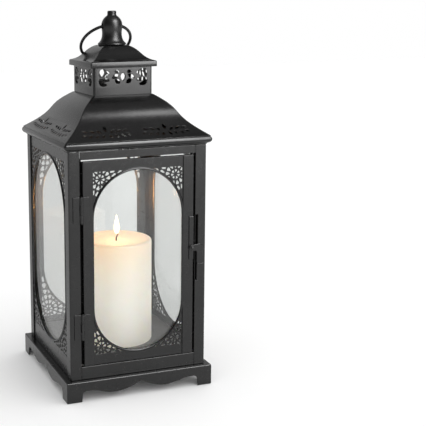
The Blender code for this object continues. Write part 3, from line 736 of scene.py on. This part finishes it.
def cap_roof():
    """Small ogee cap with an upright lip."""
    crisp = 0.9
    slope = bezier((45.7, 443.5), (30.6, 446.8), (31.1, 458.2), (17.0, 463.6), 24)
    levels = [(3.2, 3.2, 463.6)] + [(half, crisp, height) for half, height in reversed(slope)]
    levels += [(half, 1.3, height) for half, height in arc((45.6, 441.9), 1.45, 1.3, 0.15, 6)]
    levels += [(47.2, 1.6, 436.2), (47.05, 1.5, 435.75), (46.6, 1.4, 435.6), (38.5, 0.9, 435.6)]
    bm = bmesh.new()
    strip(bm, [square_row(*level, 6) for level in levels], {})
    face_outward(bm, lambda centre: Vector((centre.x, centre.y, 0.05)).normalized())
    obj = add_piece("ogee_cap", bm, "frame", ROOF_SATIN, ["cap_roof"])
    thicken(obj, ROOF_SHEET, 45)


# Finial and ring -------------------------------------------------------------------------------


def finial():
    """Bell-shaped finial, drilled across for the ring."""
    foot = [(0.0, 478.0), (2.6, 478.0), (2.6, 463.9), (18.2, 463.9), (18.9, 464.05),
            (19.35, 464.5), (19.4, 465.0), (19.25, 465.7), (19.0, 466.4)]
    flare = bezier((19.0, 466.4), (14.8, 469.0), (12.9, 475.5), (13.6, 482.5), 18)
    belly = bezier((13.6, 482.5), (14.6, 489.0), (15.6, 495.5), (9.4, 501.4), 18)
    neck = bezier((9.4, 501.4), (7.6, 503.0), (6.3, 503.4), (6.1, 505.0), 6)
    button = arc((4.4, 508.3), 1.7, 0.0, math.pi / 2, 6)
    profile = foot + flare[1:] + belly[1:] + neck[1:] + button + [(0.0, 510.0)]
    bm = bmesh.new()
    lathe(bm, profile, steps=96)
    obj = add_piece("bell_finial", bm, "frame", GLOSS, ["finial"])
    drill = ring_drill()
    hole = obj.modifiers.new("Hole", "BOOLEAN")
    hole.operation = "DIFFERENCE"
    hole.solver = "EXACT"
    hole.object = drill
    settle(obj, 40)
    bpy.data.objects.remove(drill)


def ring_drill():
    """A rod along X that cuts the ring's hole; it is removed once the hole is made."""
    bm = bmesh.new()
    section = arc((0.0, RING_HEIGHT), 4.0, 0.0, CIRCLE * 31 / 32, 31)
    rows = [[(reach, y, z) for y, z in section] for reach in (-20.0, 20.0)]
    cache = {}
    strip(bm, rows, cache)
    for row in rows:
        bm.faces.new([shared_vert(bm, point, cache) for point in row])
    bmesh.ops.recalc_face_normals(bm, faces=bm.faces)
    mesh = bpy.data.meshes.new("drill")
    bm.to_mesh(mesh)
    bm.free()
    drill = bpy.data.objects.new("drill", mesh)
    bpy.context.scene.collection.objects.link(drill)
    return drill


def carry_ring():
    """Round wire ring that leans back on the cap's rear lip."""
    radius, wire, lean = 35.6, 2.05, math.radians(46.8)
    down = Vector((0.0, math.sin(lean), -math.cos(lean)))
    normal = Vector((0.0, math.cos(lean), math.sin(lean)))
    middle = Vector((0.0, 0.0, RING_HEIGHT)) + down * (radius - 1.5)
    rows = []
    for i in range(129):
        turn = CIRCLE * i / 128
        outward = Vector((math.sin(turn), 0.0, 0.0)) - down * math.cos(turn)
        centre = middle + outward * radius
        rows.append([tuple(centre + (outward * math.cos(a) + normal * math.sin(a)) * wire)
                     for a in (CIRCLE * k / 18 for k in range(18))])
    bm = bmesh.new()
    strip(bm, rows, {})
    bmesh.ops.recalc_face_normals(bm, faces=bm.faces)
    add_piece("wire_ring", bm, "carry_ring", GLOSS, ["carry_ring"])


# Candle ----------------------------------------------------------------------------------------


def candle():
    """Pillar candle with a melted dish; returns the middle of the dish, where the wick stands."""
    low, high = limits("candle")
    centre = ((low.x + high.x) / 2, (low.y + high.y) / 2)
    radius = (high.x - low.x) / 2
    base, top = low.z, high.z
    dish = 4.6
    profile = [(0.0, base), (radius - 1.6, base), (radius - 0.5, base + 0.3),
               (radius - 0.05, base + 1.2)]
    profile += [(radius - 0.05, base + 1.2 + (top - base - 5.2) * i / 14) for i in range(1, 15)]
    profile += arc((radius - 3.6, top - 3.6), 3.55, 0.1, math.pi / 2, 7)
    profile += [(44.0, top - 0.15), (42.4, top - 0.6), (40.2, top - 1.9), (37.0, top - dish + 0.9),
                (33.0, top - dish), (20.0, top - dish - 0.1), (8.0, top - dish - 0.1),
                (3.0, top - dish + 0.1), (1.6, top - dish + 0.5),
                (1.5, top - dish - 2.0), (0.0, top - dish - 2.0)]

    def wobble(angle, height):
        near_top = max(0.0, min(1.0, (height - base) / (top - base)))
        return 1.0 - 0.0012 - 0.0012 * math.sin(3 * angle + 1.0) * near_top

    bm = bmesh.new()
    lathe(bm, profile, centre, 96, wobble)
    add_piece("pillar_candle", bm, "candle", WAX, ["candle"])
    return Vector((centre[0], centre[1], top - dish))


def wick(foot):
    """Charred wick, curled over at its tip."""
    bm = bmesh.new()
    rows = []
    for height, lean, radius in ((-1.9, 0.0, 1.1), (1.0, 0.0, 1.15), (3.5, 0.1, 1.05), (5.5, 0.5, 1.1),
                                 (7.2, 1.2, 1.0), (8.6, 2.1, 1.05), (9.8, 3.0, 0.75), (10.2, 3.4, 0.25)):
        row = []
        for k in range(14):
            angle = CIRCLE * k / 14
            reach = radius * (1 + 0.12 * math.sin(3 * angle + height * 2))
            row.append((foot.x + lean + reach * math.cos(angle), foot.y + reach * math.sin(angle),
                        foot.z + height))
        rows.append(row)
    cache = {}
    strip(bm, rows, cache)
    for row in (rows[0], rows[-1]):
        bm.faces.new([shared_vert(bm, point, cache) for point in row])
    bmesh.ops.recalc_face_normals(bm, faces=bm.faces)
    add_piece("curled_wick", bm, "candle", COTTON, ["wick"])


def flame(foot):
    """A still, slender flame with its own light."""
    low = foot.z + 9.0
    tall = 29.0
    profile = [(0.0, low)]
    for i in range(1, 24):
        t = i / 24
        profile.append((4.3 * math.sin(math.pi * t ** 0.72) ** 0.9 * (1 - 0.35 * t), low + tall * t))
    profile.append((0.0, low + tall))
    bm = bmesh.new()
    lathe(bm, profile, (foot.x + 0.8, foot.y), 40)
    obj = add_piece("flame", bm, "candle", FLAME)
    obj.visible_shadow = False
    flame_lamps(obj, foot)


def flame_lamps(flame_piece, foot):
    """A weak general lamp, and two that light only the posts and panels round the back."""
    front_metal = ("corner_post_front_left", "corner_post_front_right", "hinge_stile", "latch_stile",
                   "gap_shade_strips", "door_header", "catch_plate", "catch_keeper", "catch_hook")
    back_metal = ("window_panel_back", "window_panel_left", "window_panel_right",
                  "corner_post_back_left", "corner_post_back_right")
    general = flame_lamp(flame_piece, foot, "flame_light", 0.04, (1.0, 0.50, 0.22), 6.0)
    shaded = named_group("shaded_from_the_flame", front_metal, "EXCLUDE")
    general.light_linking.receiver_collection = shaded
    glint = flame_lamp(flame_piece, foot, "flame_glint", 6.0, (1.0, 0.45, 0.14), 9.0)
    glint.visible_diffuse = False
    lit = named_group("lit_by_the_flame", back_metal, "INCLUDE")
    glint.light_linking.receiver_collection = lit
    warmth = flame_lamp(flame_piece, foot, "flame_warmth", 0.9, (1.0, 0.40, 0.12), 9.0)
    warmth.visible_glossy = False
    warmth.light_linking.receiver_collection = lit


def named_group(name, pieces, state):
    """A collection of pieces that a lamp is told to light or to skip."""
    group = bpy.data.collections.new(name)
    for piece in pieces:
        group.objects.link(bpy.data.objects[piece])
    for member in group.collection_objects:
        member.light_linking.link_state = state
    return group


def flame_lamp(flame_piece, foot, name, energy, colour, size):
    data = bpy.data.lights.new(name, "POINT")
    data.energy = energy
    data.color = colour
    data.shadow_soft_size = size * MM
    lamp = bpy.data.objects.new(name, data)
    bpy.context.scene.collection.objects.link(lamp)
    lamp.parent = flame_piece
    lamp.location = (foot + Vector((0.8, 0.0, 20.0))) * MM
    return lamp


# Folded and turned parts -----------------------------------------------------------------------


def rounded_part(node, name, body, material, radius, sharp_angle=35):
    """The node's own shape with its coplanar triangles joined and its edges rounded."""
    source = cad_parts[node]
    bm = bmesh.new()
    bm.from_mesh(source.data)
    bm.transform(source.matrix_world)
    bmesh.ops.remove_doubles(bm, verts=bm.verts, dist=0.01 * MM)
    bmesh.ops.dissolve_limit(bm, angle_limit=math.radians(1.0), verts=bm.verts, edges=bm.edges)
    obj = add_piece(name, bm, body, material, [node], sharp_angle)
    bevel = obj.modifiers.new("Rounding", "BEVEL")
    bevel.width = radius * MM
    bevel.segments = 3
    bevel.limit_method = "ANGLE"
    bevel.angle_limit = math.radians(32)
    bevel.use_clamp_overlap = True
    settle(obj, sharp_angle)
    flatten_broad_faces(obj)
    return obj


def gap_shade_strips():
    """Dark strips behind the gaps on both sides of the door and behind the latch notch, put there as painted
    shade to keep the gaps black.

    They have no CAD node. Each stays clear of the posts' turned-in jambs.
    """
    bm = bmesh.new()
    for left, right, (low, high) in ((-81.3, -76.6, DOOR_GAP_LEVELS), (76.6, 81.2, DOOR_GAP_LEVELS),
                                     (82.8, 85.7, NOTCH_LEVELS)):
        add_box_to(bm, (left, GAP_SHADE_FRONT, low), (right, GAP_SHADE_BACK, high), 0.25)
    low, high = NOTCH_LEVELS
    add_box_to(bm, (85.9, -95.3, low), (87.0, -87.9, high), 0.3)
    add_piece("gap_shade_strips", bm, "frame", GAP_SHADE_BLACK)


def folded_parts():
    """Posts, rails, stiles, plinth, pan, hinges, latch and clips with rounded edges."""
    rounded_part("plinth", "skirted_plinth", "frame", SATIN, 0.9)
    for end in ("front", "back"):
        for side in ("left", "right"):
            rounded_part(f"post_{end}_{side}", f"corner_post_{end}_{side}", "frame", SATIN, 0.5)
    # Dark strips that paint the door gaps and the latch notch as shade.
    gap_shade_strips()
    rounded_part("header_rail", "door_header", "frame", SATIN, 0.55)
    rounded_part("sill_rail", "door_sill", "frame", SATIN, 0.55)
    rounded_part("floor_pan", "candle_pan", "frame", FLOOR_SATIN, 0.3)
    rounded_part("door_stile_hinge", "hinge_stile", "door", SATIN, 0.45)
    rounded_part("door_stile_latch", "latch_stile", "door", SATIN, 0.45)
    for level in ("lower", "upper"):
        rounded_part(f"hinge_{level}_door_leaf", f"door_leaf_{level}", "door", SATIN, 0.25)
        rounded_part(f"hinge_{level}_post_leaf", f"post_leaf_{level}", "frame", SATIN, 0.25)
        rounded_part(f"hinge_{level}_pin", f"hinge_pin_{level}", "frame", SATIN, 0.3)
    rounded_part("latch_plate", "catch_plate", "door", SATIN, 0.35)
    rounded_part("latch_keeper", "catch_keeper", "frame", SATIN, 0.4)
    rounded_part("latch_rivet", "catch_rivet", "door", GLOSS, 0.25)
    rounded_part("latch_hook", "catch_hook", "latch_hook", SATIN, 0.35)
    rounded_part("finial_screw", "pan_head_screw", "frame", ZINC, 0.3)
    rounded_part("finial_washer", "flat_washer", "frame", ZINC, 0.2)
    for side in ("back", "left", "right", "door"):
        body = "door" if side == "door" else "frame"
        for end in ("a", "b"):
            for level in ("high", "low"):
                node = f"clip_{side}_{end}_{level}"
                rounded_part(node, f"pane_tab_{side}_{end}_{level}", body, SATIN, 0.2)


def dress_cad_nodes():
    """Give every CAD node that is still shown its material."""
    for name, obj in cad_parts.items():
        for slot in obj.material_slots:
            slot.material = GLASS if name.startswith("glass_") else SATIN


# Studio ----------------------------------------------------------------------------------------


def studio_floor():
    """Plain pale floor; its colour in reflections is a painted shade that darkens towards the back."""
    bm = bmesh.new()
    bmesh.ops.create_grid(bm, x_segments=24, y_segments=24, size=6.0)
    mesh = bpy.data.meshes.new("studio_floor")
    bm.to_mesh(mesh)
    bm.free()
    obj = bpy.data.objects.new("studio_floor", mesh)
    bpy.context.scene.collection.objects.link(obj)
    obj.location.z = -0.0003
    material, tree = new_material("studio_floor")
    place = add_node(tree, "TexCoord").outputs["Object"]
    cloud = noise(tree, place, 3.0)
    white = mix_colour(tree, cloud, grey(0.86), grey(0.9))
    # Painted shade: gloss rays see the floor darker towards the back.
    back = spread(tree, add_node(tree, "SeparateXYZ", {"Vector": place}).outputs["Y"], -0.1, 0.5, 0.0, 0.4)
    glossy = add_node(tree, "LightPath").outputs["Is Glossy Ray"]
    colour = mix_colour(tree, math_node(tree, "MULTIPLY", back, glossy), white, grey(0.05))
    shader = add_node(tree, "BsdfPrincipled", {
        "Base Color": colour, "Roughness": 0.9, "Specular IOR Level": 0.1,
        "Emission Color": (1, 1, 1, 1), "Emission Strength": 0.02})
    finish_material(tree, shader.outputs[0])
    obj.data.materials.append(material)


def studio_world():
    """White surroundings to the eye. Gloss sees a graded backdrop with a dark ceiling; soft light
    comes mostly from the front right."""
    world = bpy.data.worlds.new("studio")
    bpy.context.scene.world = world
    world.use_nodes = True
    tree = world.node_tree
    tree.nodes.clear()
    direction = add_node(tree, "TexCoord").outputs["Generated"]
    ceiling = add_node(tree, "VectorMath", {0: direction, 1: (0.0, -0.17, 0.985)}, operation="DOT_PRODUCT")
    behind = add_node(tree, "SeparateXYZ", {"Vector": direction}).outputs["Y"]
    backdrop = spread(tree, behind, 0.25, 0.88, 0.06, 0.66)
    below_ceiling = spread(tree, ceiling.outputs["Value"], 0.28, 0.62, 1.0, 0.03)
    walls = math_node(tree, "MULTIPLY", backdrop, below_ceiling)
    overhead = spread(tree, ceiling.outputs["Value"], 0.6, 0.9, 0.0, 0.28)
    reflected = math_node(tree, "ADD", walls, overhead)
    lean = add_node(tree, "VectorMath", {0: direction, 1: (0.75, -0.65, 0.0)}, operation="DOT_PRODUCT")
    soft = spread(tree, lean.outputs["Value"], -1.0, 1.0, 0.55, 1.85)
    path = add_node(tree, "LightPath")
    glossy = path.outputs["Is Glossy Ray"]
    seen = math_node(tree, "ADD", math_node(tree, "MULTIPLY", reflected, glossy),
                     math_node(tree, "MULTIPLY", soft, math_node(tree, "SUBTRACT", 1.0, glossy)))
    camera = path.outputs["Is Camera Ray"]
    open_air = math_node(tree, "SUBTRACT", 1.0, camera)
    strength = math_node(tree, "ADD", math_node(tree, "MULTIPLY", seen, open_air), camera)
    shader = add_node(tree, "Background", {"Color": (1, 1, 1, 1), "Strength": strength})
    output = add_node(tree, "OutputWorld")
    tree.links.new(shader.outputs[0], output.inputs["Surface"])


def softbox(name, azimuth, elevation, distance, width, height, energy, target=(0.0, 0.0, 0.25)):
    """A rectangular light; azimuth 0 is in front of the door, positive towards +X."""
    a, e = math.radians(azimuth), math.radians(elevation)
    away = Vector((math.sin(a) * math.cos(e), -math.cos(a) * math.cos(e), math.sin(e)))
    data = bpy.data.lights.new(name, "AREA")
    data.shape = "RECTANGLE"
    data.size, data.size_y = width, height
    data.energy = energy
    obj = bpy.data.objects.new(name, data)
    bpy.context.scene.collection.objects.link(obj)
    obj.location = Vector(target) + away * distance
    obj.rotation_mode = "QUATERNION"
    obj.rotation_quaternion = (-away).to_track_quat("-Z", "Y")
    return obj


def studio_camera():
    """Camera before the lantern and to its left, about as high as its finial."""
    data = bpy.data.cameras.new("camera")
    obj = bpy.data.objects.new("camera", data)
    bpy.context.scene.collection.objects.link(obj)
    data.sensor_width = 36.0
    data.lens = 79.5
    data.shift_x, data.shift_y = 0.35, -0.111
    yaw, pitch, roll = math.radians(-17.54), math.radians(9.65), math.radians(-0.83)
    back = Vector((math.sin(yaw) * math.cos(pitch), -math.cos(yaw) * math.cos(pitch), math.sin(pitch)))
    right = Vector((math.cos(yaw), math.sin(yaw), 0.0))
    up = back.cross(right)
    cosine, sine = math.cos(roll), math.sin(roll)
    right, up = right * cosine + up * sine, up * cosine - right * sine
    obj.matrix_world = Matrix((right, up, back)).transposed().to_4x4()
    obj.location = (-0.4566, -1.2182, 0.5175)
    data.clip_start, data.clip_end = 0.05, 60.0
    bpy.context.scene.camera = obj


def studio_lights():
    """Two soft lights from the front right, for highlights only."""
    softboxes = (softbox("high_key", 30, 48, 2.0, 1.5, 0.7, 22),
                 softbox("front_key", 26, 29, 2.0, 1.1, 2.2, 76))
    for light in softboxes:
        light.visible_diffuse = False


def main():
    for side in ("left", "right", "back"):
        side_panel(side)
    door_sheet()
    main_roof()
    vent_collar()
    cap_roof()
    finial()
    carry_ring()
    foot = candle()
    wick(foot)
    folded_parts()
    flame(foot)
    dress_cad_nodes()
    studio_floor()
    studio_world()
    studio_lights()
    studio_camera()
    bpy.context.scene.view_settings.view_transform = "Standard"


main()
